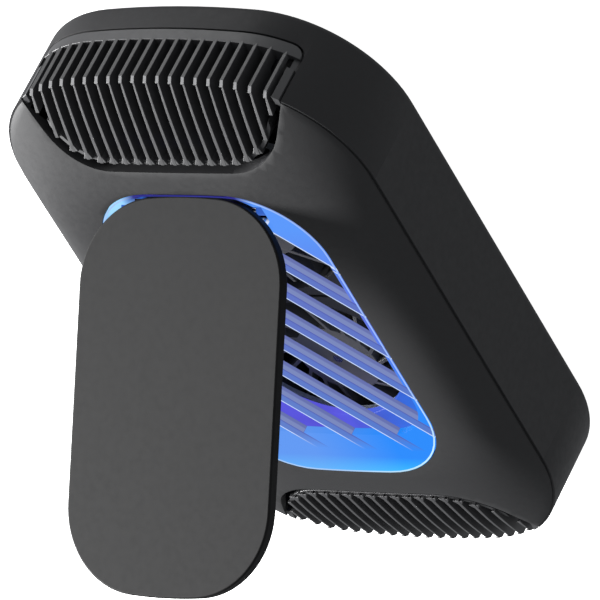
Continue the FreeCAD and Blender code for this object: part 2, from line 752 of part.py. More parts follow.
def make_blowers():
    centre = "fan_spacing / 2"

    def disc(name, radius, height, z):
        return cylinder(name, radius, height, 0, centre, z)

    # Frame: a square block bored through, with a hub plate on four arms and an outlet towards the grille
    block = middle_box("frame_block", "fan_width", "fan_width", "fan_height", 0, centre, "floor")

    def upright(edge):
        first, last = edge.firstVertex().Point, edge.lastVertex().Point
        return abs(first.x - last.x) + abs(first.y - last.y) < 0.001
    block = round_edges("frame_round", block, "fan_round", upright)
    outlet = middle_box("frame_outlet", "outlet_width", "fan_width / 2", "fan_height - 2 * fan_base",
                        0, "fan_spacing / 2 + fan_width / 2", "floor + fan_base")
    ring = cut("frame_ring", block, [disc("frame_bore", "fan_bore", "fan_height", "floor"), outlet])
    reach = "2 * fan_bore + fan_base"
    arms = [middle_box("frame_arm_x", reach, "fan_arm_width", "fan_base", 0, centre, "floor"),
            middle_box("frame_arm_y", "fan_arm_width", reach, "fan_base", 0, centre, "floor"),
            disc("frame_hub_plate", "fan_hub_plate", "fan_base", "floor")]
    both_ends("fan_frame", fuse("FanFrame", [ring] + arms))

    board_low = "floor + fan_base"
    board_disc = disc("fan_board_disc", "fan_board_radius", "fan_board_thickness", board_low)
    board_hole = disc("fan_board_hole", "bearing_radius + screw_fit", "fan_board_thickness", board_low)
    both_ends("fan_board", cut("FanBoard", board_disc, board_hole))
    bearing_tube = disc("bearing_tube", "bearing_radius", "bearing_height", board_low)
    bearing_bore = disc("bearing_bore", "shaft_radius + shaft_play", "bearing_height", board_low)
    both_ends("bearing", cut("Bearing", bearing_tube, bearing_bore))

    # Stator: four poles on a ring around the bearing, each with its winding
    poles = [disc("stator_ring", "bearing_radius + pole_ring", "stator_height", "stator_low")]
    windings = []
    length = "(stator_radius - bearing_radius)"
    for n, (along_x, along_y) in enumerate(((1, 0), (0, 1), (-1, 0), (0, -1))):
        pole_middle = "(stator_radius + bearing_radius) / 2"
        coil_middle = "(bearing_radius + pole_ring + coil_gap + coil_length / 2)"
        sizes = (length, "pole_width") if along_x else ("pole_width", length)
        wound = ("coil_length", "coil_width") if along_x else ("coil_width", "coil_length")
        x, y = f"{along_x} * {pole_middle}", f"({centre} + {along_y} * {pole_middle})"
        poles.append(middle_box(f"pole_{n}", *sizes, "stator_height", x, y, "stator_low"))
        coil = middle_box(f"coil_{n}", *wound, "coil_height",
                          f"{along_x} * {coil_middle}", f"({centre} + {along_y} * {coil_middle})",
                          "stator_low + (stator_height - coil_height) / 2")
        gap = middle_box(f"coil_gap_{n}", *sizes, "stator_height", x, y, "stator_low")
        windings.append(cut(f"winding_{n}", coil, gap))
    stator_bore = disc("stator_bore", "bearing_radius", "stator_height", "stator_low")
    both_ends("stator", cut("Stator", fuse("stator_solid", poles), stator_bore))
    both_ends("coils", group("Coils", windings))

    # Rotor: a cup over the motor, a thin ring and swept blades
    cup = cut("rotor_cup", disc("cup_outside", "hub_radius", "rotor_height", "rotor_low"),
              disc("cup_inside", "hub_radius - hub_wall", "rotor_height - hub_crown", "rotor_low"))
    cup = cut("rotor_cup_bored", cup,
              disc("cup_bore", "shaft_radius + pin_press", "rotor_height", "rotor_low"))
    shroud = cut("rotor_shroud", disc("shroud_outside", "rotor_radius", "shroud_thickness", "rotor_low"),
                 disc("shroud_inside", "hub_radius - hub_wall / 2", "shroud_thickness", "rotor_low"))
    blades = []
    for n in range(int(SIZES["blade_count"])):
        blade = doc.addObject("Part::Box", f"blade_{n}")
        bind(blade, Length="rotor_radius", Width="blade_thickness", Height="rotor_height")
        turn = f"{n} * 360 / blade_count"
        place(blade, f"hub_radius * cos({turn})", f"{centre} + hub_radius * sin({turn})", "rotor_low")
        blade.setExpression("Placement.Rotation.Angle", on_sheet(f"{turn} + blade_sweep"))
        blades.append(blade)
    blade_zone = cut("blade_zone",
                     disc("blade_zone_outside", "rotor_radius", "rotor_height", "rotor_low"),
                     disc("blade_zone_inside", "hub_radius - hub_wall / 2", "rotor_height", "rotor_low"))
    vanes = common("rotor_vanes", [fuse("rotor_blades", blades), blade_zone])
    both_ends("fan_rotor", fuse("FanRotor", [cup, shroud, vanes]))
    reach = "hub_radius - hub_wall"
    magnet = disc("magnet_outside", reach, "magnet_height", "rotor_low")
    magnet_bore = disc("magnet_inside", f"{reach} - magnet_thickness", "magnet_height", "rotor_low")
    both_ends("magnet_ring", cut("MagnetRing", magnet, magnet_bore))
    shaft_low = "floor + fan_base + shaft_lift"
    shaft_height = f"rotor_low + rotor_height - ({shaft_low})"
    both_ends("fan_shaft", disc("Shaft", "shaft_radius", shaft_height, shaft_low))


def make_electronics():
    """Control board on the hidden long side, with a charging socket through the wall."""
    board_low = "floor + board_stand"
    board_top = f"({board_low} + board_thickness)"
    board_x = "-body_width / 2 + wall + board_wall_gap"
    node("control_board", box("ControlBoard", "board_width", "board_length", "board_thickness", board_x,
                              "-board_length / 2", board_low))
    board_edge = f"({board_x}) + board_width"
    parts_line = f"{board_edge} - chip_edge"
    sizes = (("chip_side", "chip_height", "chip_place"), ("chip_side", "choke_height", "-chip_place"),
             ("small_chip_side", "chip_height", "small_chip_place"),
             ("small_chip_side", "small_chip_height", "-small_chip_place"))
    chips = [middle_box(f"chip_{n}", "small_chip_side", side, height, parts_line, y, board_top)
             for n, (side, height, y) in enumerate(sizes)]
    node("control_chips", group("ControlChips", chips))
    socket_x = "-body_width / 2 + socket_inset"

    def along_x(edge):
        first, last = edge.firstVertex().Point, edge.lastVertex().Point
        return abs(first.y - last.y) + abs(first.z - last.z) < 0.001
    shell = box("socket_block", "socket_length", "socket_width", "socket_height",
                socket_x, "-socket_width / 2", board_top)
    shell = round_edges("socket_round_block", shell, "socket_round", along_x)
    inside = box("socket_inside", "socket_length", "socket_width - 2 * socket_wall",
                 "socket_height - 2 * socket_wall", f"{socket_x} - socket_wall",
                 "-socket_width / 2 + socket_wall", f"{board_top} + socket_wall")
    inside = round_edges("socket_inside_round", inside, "socket_round - socket_wall", along_x)
    node("usb_socket_shell", cut("UsbSocketShell", shell, inside))
    tongue = box("UsbSocketTongue", "socket_length - socket_wall - tongue_inset", "tongue_width",
                 "tongue_thickness", f"{socket_x} + tongue_inset", "-tongue_width / 2",
                 f"{board_top} + (socket_height - tongue_thickness) / 2")
    node("usb_socket_tongue", tongue)
    leads = []
    frame_face = "-fan_width / 2"
    foot = f"{board_edge} - lead_inset"
    for n, side in enumerate((1, -1)):
        leads.append(prism(f"fan_lead_{n}", "XZ_Plane", [
            (frame_face, f"{board_top} + lead_rise"),
            (frame_face, f"{board_top} + lead_rise + lead_thickness"),
            (f"{foot} - lead_foot", f"{board_top} + lead_thickness"), (f"{foot} - lead_foot", board_top),
            (foot, board_top)], "lead_width", z=f"-{side} * fan_spacing / 4 - lead_width / 2"))
    node("fan_leads", group("FanLeads", leads))


def make_screws():
    screws = []
    for n, (x, y) in enumerate(corners):
        head = cylinder(f"screw_head_{n}", "screw_head_radius", "screw_head_height", x, y, "screw_recess")
        shank = cylinder(f"screw_shank_{n}", "screw_radius", "screw_length",
                         x, y, "screw_recess + screw_head_height")
        drive = cylinder(f"screw_drive_{n}", "screw_radius", "screw_head_height / 2", x, y, "screw_recess")
        screws.append(cut(f"screw_{n}", fuse(f"screw_solid_{n}", [head, shank]), drive))
    node("housing_screws", group("HousingScrews", screws))


make_rear_shell()
make_front_shell()
make_grilles()
make_window_panel()
make_lighting()
make_hinge()
make_flap()
make_blowers()
make_electronics()
make_screws()
doc.recompute()

failed = [thing.Name for thing in doc.Objects if "Invalid" in thing.State or "Error" in thing.State]
if failed:
    raise RuntimeError(f"failed objects: {failed}")
for label, thing in sub_parts:
    if thing.Shape.isNull() or not thing.Shape.isValid() or not thing.Shape.Solids:
        raise RuntimeError(f"{label} has no valid solid")

os.makedirs("parts", exist_ok=True)
for label, thing in sub_parts:
    thing.Shape.exportStep(f"parts/{label}.step")
    print(f"{label}: {len(thing.Shape.Solids)} solids, {thing.Shape.Volume:.1f} mm3")
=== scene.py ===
"""Looks of the phone cooler: materials, finely rounded pieces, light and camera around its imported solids.

The part's own frame is kept. Sizes that the frame doesn't give are in millimetres, and a mesh is built from
millimetres and then brought to metres.
"""
import json
import math
import bmesh
import bpy
from mathutils import Matrix, Vector


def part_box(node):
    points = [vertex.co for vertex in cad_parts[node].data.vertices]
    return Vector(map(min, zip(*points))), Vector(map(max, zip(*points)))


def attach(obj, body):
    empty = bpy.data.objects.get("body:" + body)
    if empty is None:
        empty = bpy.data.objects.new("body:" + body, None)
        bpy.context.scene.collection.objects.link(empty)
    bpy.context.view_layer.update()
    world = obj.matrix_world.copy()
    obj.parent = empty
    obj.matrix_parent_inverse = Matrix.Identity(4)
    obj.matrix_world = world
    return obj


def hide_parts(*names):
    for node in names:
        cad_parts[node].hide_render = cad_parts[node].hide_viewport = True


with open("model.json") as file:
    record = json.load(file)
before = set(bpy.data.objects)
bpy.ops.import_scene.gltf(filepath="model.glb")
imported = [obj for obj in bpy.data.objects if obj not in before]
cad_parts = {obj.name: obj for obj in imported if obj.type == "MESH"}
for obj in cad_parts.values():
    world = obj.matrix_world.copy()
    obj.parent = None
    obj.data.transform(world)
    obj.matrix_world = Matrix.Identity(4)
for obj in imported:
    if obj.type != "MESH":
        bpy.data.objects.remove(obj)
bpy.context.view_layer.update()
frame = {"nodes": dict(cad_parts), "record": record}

MM = 0.001
nodes = frame["nodes"]
slot_of = {part["node"]: part["material_slot"] for part in frame["record"]["subparts"]}


def box_mm(node):
    """A node's lowest and highest corners, in millimetres."""
    low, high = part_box(node)
    return low / MM, high / MM


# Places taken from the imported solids
REAR_HIGH = box_mm("rear_shell")[1]
GRILLE_FLOOR, GRILLE_HIGH = box_mm("grille_hinge_end")
HALF_WIDTH = REAR_HIGH.x
HALF_LENGTH = GRILLE_HIGH.y
FACE = box_mm("front_shell")[1].z
SEAM = REAR_HIGH.z

# Housing outline
BODY_ARCH = 100
BODY_CORNER = 15.6
CAP_SIDE_POWER = 0.36
CAP_END_POWER = 0.83

# Window
WINDOW_WIDTH = 30.3
WINDOW_LENGTH = 48.1
WINDOW_ARCH = 150
WINDOW_CORNER = 10.2
WINDOW_SHIFT = 0.6
WINDOW_FIT = 0.1
LAND = 0.4
LOUVRE_ANGLE = math.radians(47)
LOUVRE_PITCH = 4.9
LOUVRE_BAR = 1.38
FIRST_SLOT_TOP = 19         # offset of the first slot's upper edge from the window's centre
FIRST_BAR_LOW = 13.47       # offset of the first bar's lower edge
FIELD_FAR = -16.65          # where the slots end along Y
FIELD_HINGE = 19.65
RIM_LINE = 0.2              # bright line along the window's edge
RIM_RISE = 0.03

# Grilles
GRILLE_HALF = GRILLE_HIGH.x
GRILLE_LOW = GRILLE_FLOOR.z
GRILLE_BACK = 36.65         # inner side of the band under the ribs
GRILLE_CORNER = 1.25
GRILLE_SLACK = 0.01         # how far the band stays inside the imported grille's two ends
BAND_LEAST = 0.4            # least thickness of the band
GRILLE_STEPS = 40           # steps along the band and the bar
RIB_LOW = 5.6
RIB_ROOT = 0.3              # how far a rib and an end strip run down into the band
RIB_COUNT = 20
RIB_PITCH = 1.69
RIB_WIDTH = 0.5
RIB_BACK = 37
RIB_LEAST = 0.5             # least depth of a rib's lower end
RIB_TURN = 9.8
RIB_RISE = 0.05             # how far a rib's wall rises above the seam
RIB_DIP = 0.3               # how far a rib's back lies under the shell's surface at the fold
RIB_DIP_LENGTH = 6.5
RIB_THIN = 0.3              # width of a rib's back just behind the fold
RIB_DEEP = 2.6              # how deep a rib is behind the fold
SHELF_START = 1.5           # the line of the ribs' undersides meets the seam this far before the notch
FACET_RISE = 0.6            # bright facet at a rib's fold
FACET_RUN = 0.5
FACET_BACK = 0.12           # how far behind the facet a rib keeps its full width
SLOPE_BACK = 0.15           # how far behind the facet its sloping back begins
NOTCH_INNER, NOTCH_OUTER = 27.7, 36.385
NOTCH_INNER_HALF, NOTCH_HALF = 13.65, 17.85
NOTCH_ROUND = 8.6
FOOT_GAP = 0.9
FOOT_LAP = 0.1              # how far a rib's foot begins inside the bar that joins the feet
FOOT_BAR = 0.45
FOOT_END = 15.2
FOOT_DEPTH = 1.8
FOOT_SINK = 0.4             # how far that bar lies under the cap's surface
FLARE_START = 0.08          # a foot's flare: its start, its end beyond the bar, its sides and its sink
FLARE_END = 0.45
FLARE_SIDE = 0.42
FLARE_SINK = 0.02
STRIP_WIDTH = 0.75
STRIP_LOW = 7.2
STRIP_DEPTH = 1.2
STRIP_GAP = 0.05            # from an end strip's top to the seam
STRIP_LAP = 0.1
STRIP_STEP = 0.5            # how far a strip's lower part stands back

# Rounded edges
RIB_ROUND, RIB_ROUND_ANGLE, RIB_ROUND_STEPS = 0.06, 40, 2
SHELL_ROUND = 0.1
ROTOR_ROUND = 0.06
FRAME_ROUND = 0.15
PLATE_ROUND = 0.15
MESH_WELD = 0.0005          # points of a new mesh this near each other are one
PACKED_WELD = 0.002

# Camera, from the outlines in the photograph, with its distances in metres
VIEW_AZIMUTH = 47.98        # degrees from +X towards +Y
VIEW_ELEVATION = 32.54
VIEW_ROLL = -152.6
VIEW_DISTANCE = 0.8987
VIEW_AIM = Vector((-2.092, -3.503, 6.273)) * MM
LENS = 465.9
CLIP_NEAR = 0.01
CLIP_FAR = 20

# Light and floor, in metres and watts
SKY_TONE = (0.95, 0.97, 1)
SKY_STRENGTH = 0.42
LIGHTS = {
    "key": {"towards": (-1, 0.16, 0.41), "distance": 0.7, "size": 0.25, "power": 20.5},
    "fill": {"towards": (-0.56, 0.75, 0.3), "distance": 0.8, "size": 0.3, "power": 0.5},
    "low": {"towards": (-0.5, 0.7, -0.45), "distance": 0.8, "size": 0.45, "power": 1},
}
FLOOR_HALF = 6
FLOOR_LEVEL = -0.3 * MM     # just under the rear face, out of its plane; it hides the object from below
FLOOR_TONE = 0.9
FLOOR_ROUGHNESS = 0.9

# Moulded plastic: sizes of its patches and how much they vary
TONE_PATCH = 1.2
TONE_CHANGE = 0.06
GLOSS_PATCH = 0.8
GLOSS_CHANGE = 0.04
FACET_FACING = (0.97, 0.99)  # how squarely a face has to lie in the ribs' facets to get the painted highlight
BRACKET_LIT = (8, 9)        # beyond these places along X the bracket gets a painted glow for the window's light shining through it

# Metal and printed boards
METAL_PATCH = 0.4
METAL_DARKER = 0.85
METAL_LINE = 0.12
METAL_LINE_DEPTH = 0.003
METAL_ROUGHNESS = (0.8, 1.25)
TRACE_PITCH = 2.2
TRACE_WIDTH = 0.03
TRACE_DEPTH = 0.01
BOARD_DARKER = 0.9
BOARD_ROUGHNESS = 0.35

# Lit plastic: places between which its tones change, and two of its tones
CLEAR_TONE = (0.002, 0.008, 0.03)
GLOW_ALONG = (-21, -6)
GLOW_ACROSS = (-2, 13)
GLOW_PATCH = 5
SHADE_ALONG = (20.5, 22)    # shade of the hinge
SHADE_BESIDE = (7, 9)
SHADE_TONE = (0.024, 0.016, 0.21)

# The window's top face: places between which its tones change, and the tones
LEFTWARD = (-4, 8)          # along X
AZURE_RIGHT, AZURE_LEFT = (0.012, 0.24, 0.92), (0.11, 0.30, 0.84)
CYAN_RIGHT, CYAN_LEFT = (0.03, 0.52, 1.0), (0.12, 0.46, 0.93)
CYAN_TO_AZURE = (-23.6, -20.5)
AZURE_TO_MIDDLE = (-13, 3)
MIDDLE_TONE = (0.115, 0.17, 0.72)
MIDDLE_TO_HINGE = (6, 19)
HINGE_TONE = (0.10, 0.31, 0.96)
CRESCENT_ALONG = (18, 21.5)
CRESCENT_ACROSS = (-9.5, -6)
CRESCENT_TONE = (0.36, 0.72, 1.0)

# Lines along its bars
LINE_FADE = 2.6             # how far they run on over the solid part
LINE_END = 0.2              # how quickly they end towards the hinge
LINES_BEGIN = (0.5, 0.3)    # below the first slot's upper edge
BAR_BLUR = 0.05
BAR_TONE = (0.105, 0.15, 0.43)
DARK_LINE = (0.24, 0.16)    # where a painted dark line lies along a bar, below its upper edge
DARK_LINE_TONE = (0.075, 0.085, 0.38)
BAR_SHARE = 0.75
DARK_LINE_SHARE = 0.75
EDGE_LINE = (0.12, 0.2)     # width of the bright line on a bar, where it is full and where it has faded
FIRST_LINE = (0.14, 0.22)   # half width of the one at the first slot's upper edge
EDGE_TONE = (0.62, 0.74, 1.0)

# Walls of its slots, and how deep under the face the light reaches
WALL_FACING = (0.8, 0.95)
WALL_CHANGE = (0.62, 0.5)   # under the face, where the walls turn lighter
WALL_LOW_TONE, WALL_HIGH_TONE = (0.14, 0.17, 0.42), (0.20, 0.25, 0.50)
LIT_DEPTH = (1.6, 0.9)
UNDERSIDE = (-0.8, -0.4)    # faces that look down as steeply as this stay dark


def add_camera():
    azimuth, elevation = math.radians(VIEW_AZIMUTH), math.radians(VIEW_ELEVATION)
    towards = Vector((math.cos(elevation) * math.cos(azimuth), math.cos(elevation) * math.sin(azimuth),
                      math.sin(elevation)))
    camera = bpy.data.objects.new("camera", bpy.data.cameras.new("camera"))
    camera.data.lens = LENS
    camera.data.clip_start = CLIP_NEAR
    camera.data.clip_end = CLIP_FAR
    camera.location = VIEW_AIM + towards * VIEW_DISTANCE
    level = towards.to_track_quat("Z", "Y").to_matrix()
    camera.rotation_euler = (level @ Matrix.Rotation(math.radians(VIEW_ROLL), 3, "Z")).to_euler()
    bpy.context.scene.collection.objects.link(camera)
    bpy.context.scene.camera = camera


def add_light(name, towards, distance, size, power):
    """A soft square light that looks at the object from a direction."""
    lamp = bpy.data.lights.new(name, "AREA")
    lamp.shape = "SQUARE"
    lamp.size = size
    lamp.energy = power
    light = bpy.data.objects.new(name, lamp)
    direction = Vector(towards).normalized()
    light.location = VIEW_AIM + direction * distance
    light.rotation_euler = direction.to_track_quat("Z", "Y").to_euler()
    bpy.context.scene.collection.objects.link(light)


def add_studio():
    world = bpy.data.worlds.new("studio")
    world.use_nodes = True
    background = world.node_tree.nodes["Background"]
    background.inputs["Color"].default_value = (*SKY_TONE, 1)
    background.inputs["Strength"].default_value = SKY_STRENGTH
    bpy.context.scene.world = world
    bpy.context.scene.view_settings.view_transform = "Standard"
    for name, settings in LIGHTS.items():
        add_light(name, **settings)


def add_floor():
    """A plain pale floor that neither shades nor lights the object."""
    mesh = bpy.data.meshes.new("floor")
    corners = ((-1, -1), (1, -1), (1, 1), (-1, 1))
    mesh.from_pydata([(x * FLOOR_HALF, y * FLOOR_HALF, FLOOR_LEVEL) for x, y in corners], [], [(0, 1, 2, 3)])
    floor = bpy.data.objects.new("floor", mesh)
    material = bpy.data.materials.new("floor")
    material.use_nodes = True
    shader = material.node_tree.nodes["Principled BSDF"]
    shader.inputs["Base Color"].default_value = (FLOOR_TONE, FLOOR_TONE, FLOOR_TONE, 1)
    shader.inputs["Roughness"].default_value = FLOOR_ROUGHNESS
    shader.inputs["Emission Color"].default_value = (1, 1, 1, 1)
    shader.inputs["Emission Strength"].default_value = 1
    mesh.materials.append(material)
    floor.visible_shadow = False
    floor.visible_diffuse = False
    floor.visible_glossy = False
    bpy.context.scene.collection.objects.link(floor)


# Materials

class Material:
    """A node material on one Principled shader, with helpers for what most finishes need."""

    def __init__(self, name, **sockets):
        self.material = bpy.data.materials.new(name)
        self.material.use_nodes = True
        self.tree = self.material.node_tree
        self.shader = self.tree.nodes["Principled BSDF"]
        self.place = self.tree.nodes.new("ShaderNodeTexCoord").outputs["Object"]
        for label, value in sockets.items():
            self.shader.inputs[label.replace("_", " ")].default_value = value

    def node(self, kind, **settings):
        made = self.tree.nodes.new("ShaderNode" + kind)
        for field, value in settings.items():
            setattr(made, field, value)
        return made

    def link(self, output, socket):
        self.tree.links.new(output, socket)

    def feed(self, output, label):
        """Lead an output to a socket of the shader."""
        self.link(output, self.shader.inputs[label])

    def facing(self):
        """The direction that the surface faces."""
        return self.node("NewGeometry").outputs["Normal"]

    def axes(self, vector):
        """A vector's lengths along X, Y and Z."""
        split = self.node("SeparateXYZ")
        self.link(vector, split.inputs["Vector"])
        return tuple(split.outputs[axis] for axis in "XYZ")

    def noise(self, size, detail=3, stretch=None):
        """Noise whose grains are about as large as size, in millimetres."""
        noise = self.node("TexNoise")
        noise.inputs["Scale"].default_value = 1 / (size * MM)
        noise.inputs["Detail"].default_value = detail
        place = self.place
        if stretch:
            mapping = self.node("Mapping")
            mapping.inputs["Scale"].default_value = stretch
            self.link(place, mapping.inputs["Vector"])
            place = mapping.outputs["Vector"]
        self.link(place, noise.inputs["Vector"])
        return noise.outputs["Fac"]

    def spread(self, value, low, high, start=0.3, stop=0.7):
        """Bring a value between start and stop to one between low and high."""
        spread = self.node("MapRange")
        self.link(value, spread.inputs["Value"])
        for label, number in zip(("From Min", "From Max", "To Min", "To Max"), (start, stop, low, high)):
            spread.inputs[label].default_value = number
        return spread.outputs["Result"]

    def rise(self, value, start, stop):
        """0 up to start and 1 from stop, which are places in millimetres."""
        return self.spread(value, 0, 1, start=start * MM, stop=stop * MM)

    def fall(self, value, start, stop):
        """1 up to start and 0 from stop, which are places in millimetres."""
        return self.spread(value, 1, 0, start=start * MM, stop=stop * MM)

    def mix(self, factor, first, second):
        """Mix two colours by a factor."""
        mix = self.node("Mix", data_type="RGBA")
        self.link(factor, mix.inputs["Factor"])
        for label, colour in (("A", first), ("B", second)):
            end = next(s for s in mix.inputs if s.name == label and s.type == "RGBA")
            if isinstance(colour, tuple):
                end.default_value = (*colour, 1)
            else:
                self.link(colour, end)
        return next(s for s in mix.outputs if s.type == "RGBA")

    def maths(self, operation, first, second=None):
        """One step of arithmetic with outputs or plain numbers."""
        step = self.node("Math", operation=operation)
        for socket, value in zip(step.inputs, (first, second)):
            if isinstance(value, (int, float)):
                socket.default_value = value
            elif value is not None:
                self.link(value, socket)
        return step.outputs["Value"]

    def times(self, first, *others):
        """The product of outputs and plain numbers."""
        for other in others:
            first = self.maths("MULTIPLY", first, other)
        return first

    def dot(self, vector, direction):
        """How far a vector goes along a direction."""
        step = self.node("VectorMath", operation="DOT_PRODUCT")
        self.link(vector, step.inputs[0])
        step.inputs[1].default_value = direction
        return step.outputs["Value"]

    def bump(self, value, depth):
        """Raise the surface by a value, at most by depth, in millimetres."""
        bump = self.node("Bump")
        bump.inputs["Strength"].default_value = 1
        bump.inputs["Distance"].default_value = depth * MM
        self.link(value, bump.inputs["Height"])
        self.feed(bump.outputs["Normal"], "Normal")


def scaled(colour, share):
    return tuple(min(1, part * share) for part in colour)


def moulded(name, colour, roughness, grain=0.18, depth=0.006, specular=0.35, painted_glow=None, facet_highlight=None):
    """Moulded plastic with a fine grain and uneven gloss.

    A painted glow at its two ends stands in for light shining through, and a painted highlight can lighten
    the facets at the folds of the ribs.
    """
    finish = Material(name, Specular_IOR_Level=specular)
    darker, lighter = scaled(colour, 1 - TONE_CHANGE), scaled(colour, 1 + TONE_CHANGE)
    tone = finish.mix(finish.noise(TONE_PATCH), darker, lighter)
    # Painted highlight: faces that lie like the facets at the ribs' folds get a lighter colour.
    if facet_highlight:
        _, y, z = finish.axes(finish.facing())
        outward = finish.times(finish.maths("ABSOLUTE", y), FACET_RISE)
        squareness = finish.maths("ADD", outward, finish.times(z, FACET_RUN))
        start, stop = (share * math.hypot(FACET_RISE, FACET_RUN) for share in FACET_FACING)
        tone = finish.mix(finish.spread(squareness, 0, 1, start, stop), tone, facet_highlight)
    finish.feed(tone, "Base Color")
    uneven = finish.spread(finish.noise(GLOSS_PATCH), roughness - GLOSS_CHANGE, roughness + GLOSS_CHANGE)
    finish.feed(uneven, "Roughness")
    finish.bump(finish.noise(grain, detail=2), depth)
    # Painted glow: the bracket's ends give off blue light, as if the window's light came through them.
    if painted_glow:
        x, _, _ = finish.axes(finish.place)
        finish.shader.inputs["Emission Color"].default_value = (*painted_glow, 1)
        finish.feed(finish.rise(finish.maths("ABSOLUTE", x), *BRACKET_LIT), "Emission Strength")
    return finish.material


def metal(name, colour, roughness, stretch=(1, 1, 1)):
    """Drawn or ground metal with fine lines along its longer way."""
    finish = Material(name, Metallic=1.0)
    tone = finish.mix(finish.noise(METAL_PATCH, stretch=stretch), scaled(colour, METAL_DARKER), colour)
    finish.feed(tone, "Base Color")
    lines = finish.noise(METAL_LINE, stretch=stretch)
    finish.feed(finish.spread(lines, *(roughness * share for share in METAL_ROUGHNESS)), "Roughness")
    finish.bump(lines, METAL_LINE_DEPTH)
    return finish.material


def printed_board(name, colour, copper):
    """Solder mask with faint traces under it."""
    finish = Material(name, Roughness=BOARD_ROUGHNESS)
    brick = finish.node("TexBrick")
    brick.inputs["Scale"].default_value = 1 / (TRACE_PITCH * MM)
    brick.inputs["Mortar Size"].default_value = TRACE_WIDTH
    for label, tone in (("Color1", colour), ("Color2", scaled(colour, BOARD_DARKER)), ("Mortar", copper)):
        brick.inputs[label].default_value = (*tone, 1)
    finish.link(finish.place, brick.inputs["Vector"])
    finish.feed(brick.outputs["Color"], "Base Color")
    finish.bump(brick.outputs["Fac"], TRACE_DEPTH)
    return finish.material


def hinge_shade(finish, x, y):
    """1 where the hinge shades the window's light and 0 elsewhere."""
    return finish.times(finish.rise(y, *SHADE_ALONG), finish.fall(finish.maths("ABSOLUTE", x), *SHADE_BESIDE))


def lit_plastic(name, far_tone, near_tone, side_tone, strength, mottle=0.12, shaded=False):
    """Clear plastic lit from within.

    Its tone runs along the window and shifts towards -X. The hinge can shade it.
    """
    finish = Material(name, Roughness=0.4, Specular_IOR_Level=0.1)
    finish.shader.inputs["Base Color"].default_value = (*CLEAR_TONE, 1)
    x, y, _ = finish.axes(finish.place)
    tone = finish.mix(finish.rise(y, *GLOW_ALONG), far_tone, near_tone)
    tone = finish.mix(finish.fall(x, *GLOW_ACROSS), tone, side_tone)
    if shaded:
        tone = finish.mix(hinge_shade(finish, x, y), tone, SHADE_TONE)
    finish.feed(tone, "Emission Color")
    lively = finish.spread(finish.noise(GLOW_PATCH), strength * (1 - mottle), strength * (1 + mottle))
    finish.feed(lively, "Emission Strength")
    return finish.material


def window_plastic():
    """The window's faces: lit on top with fine bright and dark lines along each bar, lilac in the slots."""
    finish = Material("window_tint", Roughness=0.35, Specular_IOR_Level=0.12)
    finish.shader.inputs["Base Color"].default_value = (*CLEAR_TONE, 1)
    x, y, z = finish.axes(finish.place)
    across = (math.sin(LOUVRE_ANGLE), math.cos(LOUVRE_ANGLE), 0)
    offset = finish.dot(finish.place, across)

    # Tones of the top face from place to place
    leftward = finish.fall(x, *LEFTWARD)
    azure = finish.mix(leftward, AZURE_RIGHT, AZURE_LEFT)
    cyan = finish.mix(leftward, CYAN_RIGHT, CYAN_LEFT)
    middle = finish.mix(finish.rise(y, *AZURE_TO_MIDDLE), azure, MIDDLE_TONE)
    tone = finish.mix(finish.rise(y, *CYAN_TO_AZURE), cyan, middle)
    tone = finish.mix(finish.rise(y, *MIDDLE_TO_HINGE), tone, HINGE_TONE)
    crescent = finish.times(finish.rise(y, *CRESCENT_ALONG), finish.fall(x, *CRESCENT_ACROSS))
    tone = finish.mix(crescent, tone, CRESCENT_TONE)
    tone = finish.mix(hinge_shade(finish, x, y), tone, SHADE_TONE)

    # Lines along the bars; they run on over the solid part and fade there
    centre = WINDOW_SHIFT * across[1]
    first_top = centre + FIRST_SLOT_TOP
    step = finish.maths("FLOORED_MODULO", finish.maths("SUBTRACT", offset, (centre + FIRST_BAR_LOW) * MM),
                        LOUVRE_PITCH * MM)
    below = finish.fall(offset, *(first_top - gap for gap in LINES_BEGIN))
    shown = finish.times(finish.rise(y, FIELD_FAR - LINE_FADE, FIELD_FAR), below,
                         finish.fall(y, FIELD_HINGE, FIELD_HINGE + LINE_END))
    bar = finish.times(finish.fall(step, LOUVRE_BAR, LOUVRE_BAR + BAR_BLUR), shown)
    tone = finish.mix(finish.times(bar, BAR_SHARE), tone, BAR_TONE)
    # A painted dark line along each bar, just below its upper edge.
    dark_line = finish.rise(step, *(LOUVRE_BAR - gap for gap in DARK_LINE))
    tone = finish.mix(finish.times(dark_line, bar, DARK_LINE_SHARE), tone, DARK_LINE_TONE)
    edge = finish.times(finish.fall(step, *EDGE_LINE), shown)
    from_first = finish.maths("ABSOLUTE", finish.maths("SUBTRACT", offset, first_top * MM))
    first = finish.fall(from_first, *FIRST_LINE)
    tone = finish.mix(finish.maths("MAXIMUM", edge, first), tone, EDGE_TONE)

    # Walls of the slots that look towards the hinge, and the sides of the panel
    facing = finish.facing()
    wall = finish.spread(finish.dot(facing, across), 0, 1, *WALL_FACING)
    upper = finish.rise(z, *(FACE - depth for depth in WALL_CHANGE))
    tone = finish.mix(wall, tone, finish.mix(upper, WALL_LOW_TONE, WALL_HIGH_TONE))
    finish.feed(tone, "Emission Color")
    lit = finish.rise(z, *(FACE - depth for depth in LIT_DEPTH))
    upward = finish.spread(finish.dot(facing, (0, 0, 1)), 0, 1, *UNDERSIDE)
    finish.feed(finish.times(lit, upward), "Emission Strength")
    return finish.material


